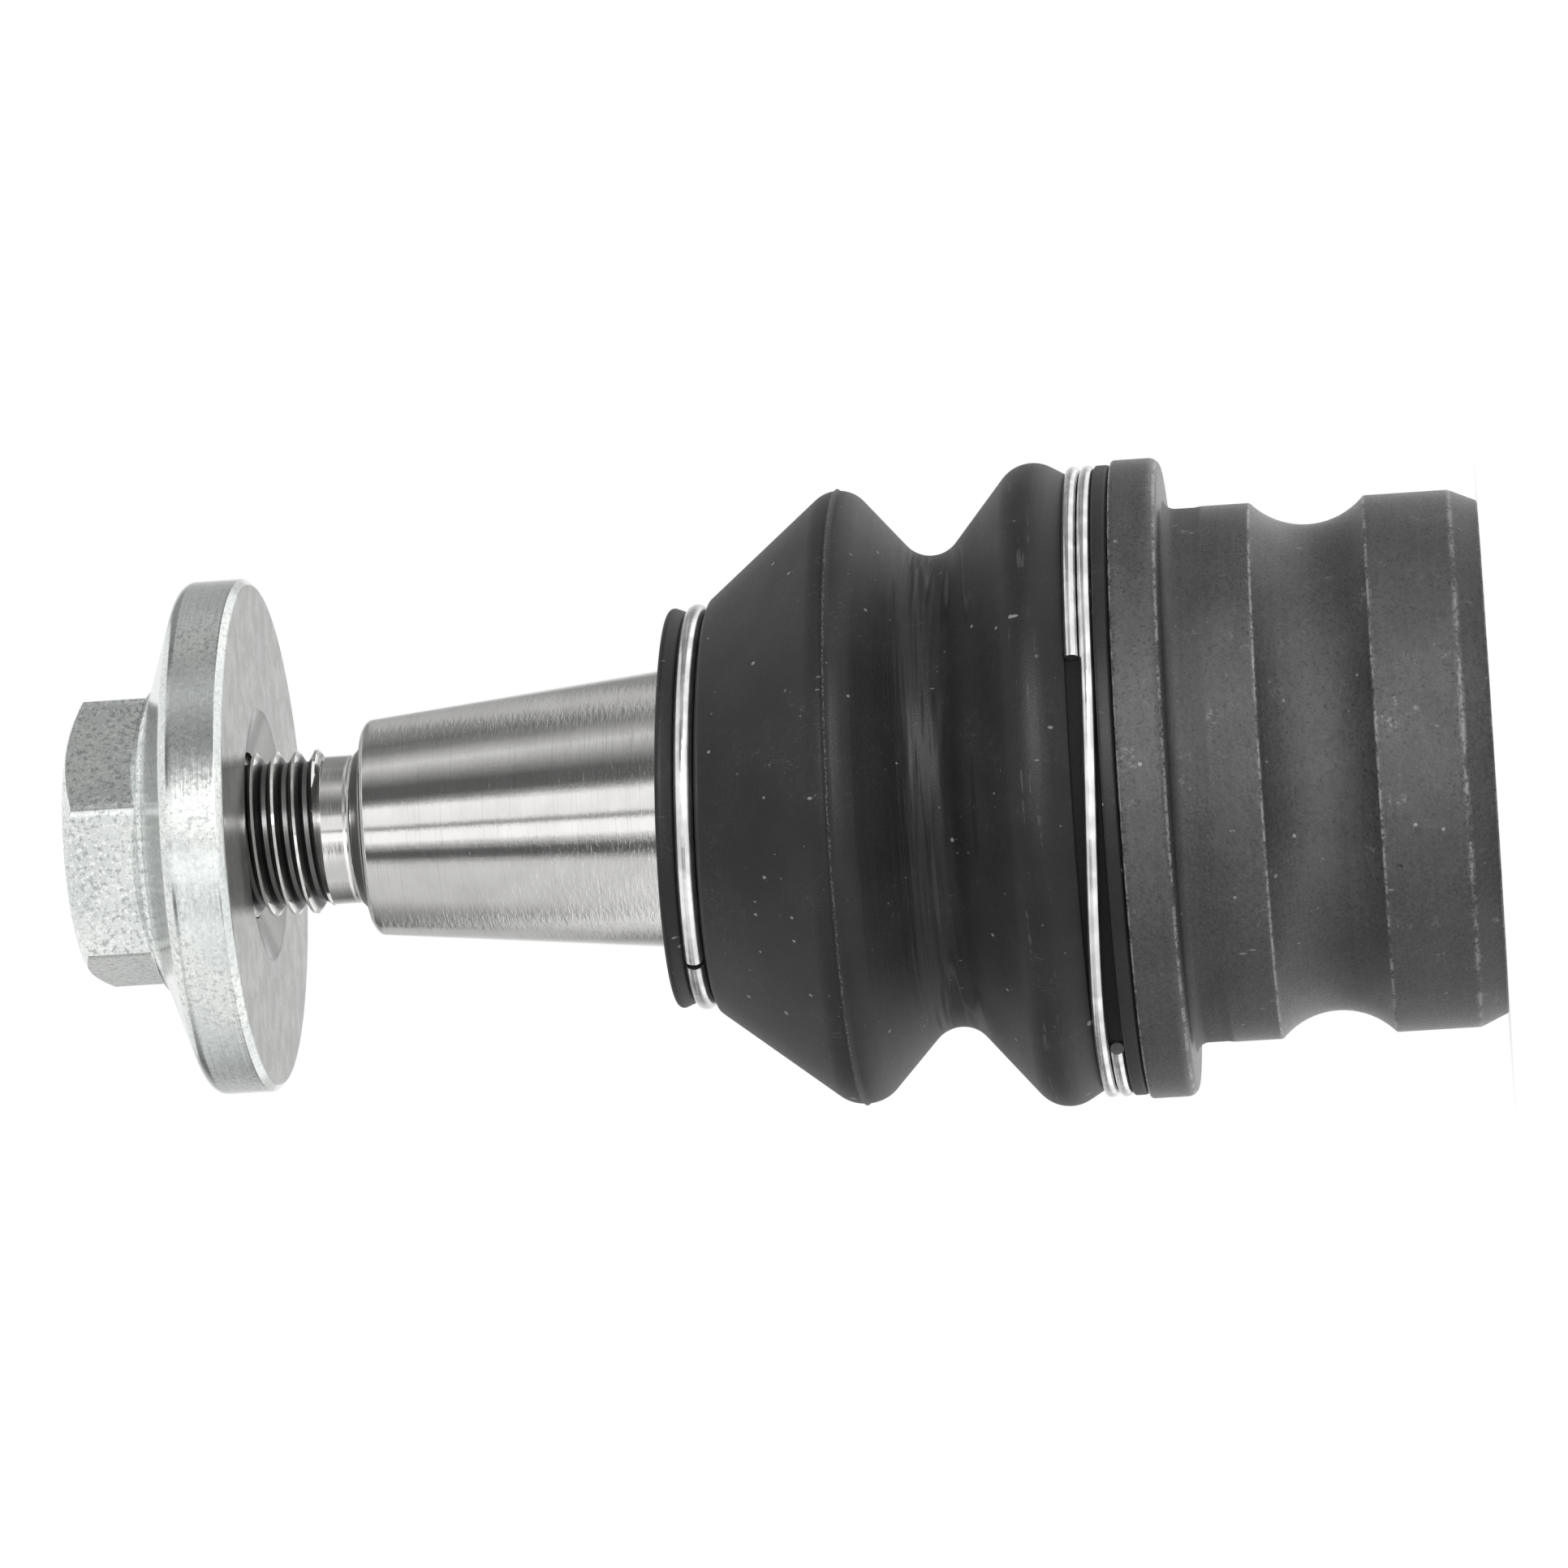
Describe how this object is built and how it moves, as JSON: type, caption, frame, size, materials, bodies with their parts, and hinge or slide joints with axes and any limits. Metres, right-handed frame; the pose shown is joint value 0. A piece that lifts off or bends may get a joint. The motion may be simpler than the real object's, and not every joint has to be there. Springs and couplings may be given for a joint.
{
  "type": "suspension ball joint",
  "caption": "Clamp-in suspension ball joint: grooved round shank with flange, two-fold rubber boot, tapered stud and wide-flanged hexagon nut.",
  "frame": {"origin": "centre of the ball, on the axis of the clamped shank", "axes": "+Z along the stud towards its nut; +X and +Y across it; the part stands on the housing's end face"},
  "size_m": [0.0462, 0.0462, 0.102],
  "materials": {
    "black_steel": "satin black coating on forged steel",
    "seat_plastic": "moulded, greased",
    "spring_steel": "tempered",
    "cover_steel": "satin black coating on pressed steel",
    "ground_steel": "turned and ground, fine rings about the axis",
    "boot_rubber": "matte moulded rubber",
    "ring_wire": "bright drawn wire",
    "zinc_plate": "zinc plated, slightly blue"
  },
  "bodies": {
    "housing": {"housing": "black_steel", "upper_seat": "seat_plastic", "lower_seat": "seat_plastic", "preload_spring": "spring_steel", "end_cover": "cover_steel", "boot_ring_large": "ring_wire"},
    "boot": {"dust_boot": "boot_rubber"},
    "collar": {"boot_ring_small": "ring_wire"},
    "stud": {"ball_stud": "ground_steel"},
    "nut": {"flange_nut": "zinc_plate"}
  },
  "joints": [
    {"name": "swing_x", "type": "hinge", "parent": "housing", "child": "boot", "pos_m": [0, 0, 0], "axis": [1, 0, 0], "range_deg": [-18, 18], "deforming": ["dust_boot"]},
    {"name": "swing_y", "type": "hinge", "parent": "boot", "child": "collar", "pos_m": [0, 0, 0], "axis": [0, 1, 0], "range_deg": [-18, 18], "deforming": ["dust_boot"]},
    {"name": "stud_spin", "type": "hinge", "parent": "collar", "child": "stud", "pos_m": [0, 0, 0], "axis": [0, 0, 1], "continuous": true},
    {"name": "nut_travel", "type": "slide", "parent": "stud", "child": "nut", "axis": [0, 0, 1], "range_m": [-0.004, 0.009]}
  ]
}
